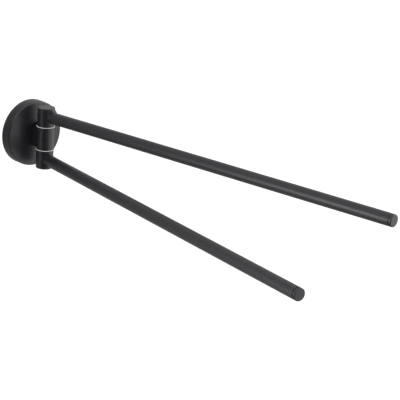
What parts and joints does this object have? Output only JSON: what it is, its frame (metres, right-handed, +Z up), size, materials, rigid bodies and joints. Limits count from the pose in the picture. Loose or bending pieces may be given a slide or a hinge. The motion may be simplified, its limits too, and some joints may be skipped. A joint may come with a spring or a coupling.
{
  "type": "towel holder",
  "caption": "Wall-mounted towel holder with a round rosette and straight tube arms at two heights that swing about a shared upright pivot.",
  "frame": {"origin": "centre of the rosette's back face, on the wall", "axes": "+Z up, +Y into the wall, and the holder stands out from the wall towards -Y"},
  "size_m": [0.1259, 0.4492, 0.0676],
  "materials": {
    "black_paint": "satin black baked paint",
    "zinc_plate": "zinc plated",
    "plain_steel": "bright machined",
    "dark_steel": "black oxide",
    "bronze": "sintered bronze",
    "white_nylon": "natural white nylon"
  },
  "bodies": {
    "wall_mount": {"wall_bracket": "zinc_plate", "rosette": "black_paint", "rosette_grub_screw": "dark_steel", "knuckle": "black_paint", "neck_screws": "plain_steel", "neck_lock_washers": "plain_steel", "pivot_pin": "plain_steel", "upper_thrust_washer": "white_nylon", "lower_thrust_washer": "white_nylon", "upper_slide_washer": "plain_steel", "lower_slide_washer": "plain_steel", "upper_disc_spring": "plain_steel", "lower_disc_spring": "plain_steel", "upper_lock_nut": "plain_steel", "lower_lock_nut": "plain_steel"},
    "upper_arm": {"upper_hub": "black_paint", "upper_hub_bush": "bronze", "upper_hub_cap": "black_paint", "upper_tube": "black_paint", "upper_tube_set_screw": "dark_steel", "upper_end_cap": "black_paint"},
    "lower_arm": {"lower_hub": "black_paint", "lower_hub_bush": "bronze", "lower_hub_cap": "black_paint", "lower_tube": "black_paint", "lower_tube_set_screw": "dark_steel", "lower_end_cap": "black_paint"}
  },
  "joints": [
    {"name": "upper_arm_swing", "type": "hinge", "parent": "wall_mount", "child": "upper_arm", "pos_m": [0, -0.0283, 0], "axis": [0, 0, 1], "range_deg": [-96.93, 83.07]},
    {"name": "lower_arm_swing", "type": "hinge", "parent": "wall_mount", "child": "lower_arm", "pos_m": [0, -0.0283, 0], "axis": [0, 0, 1], "range_deg": [-81.44, 98.56]}
  ]
}
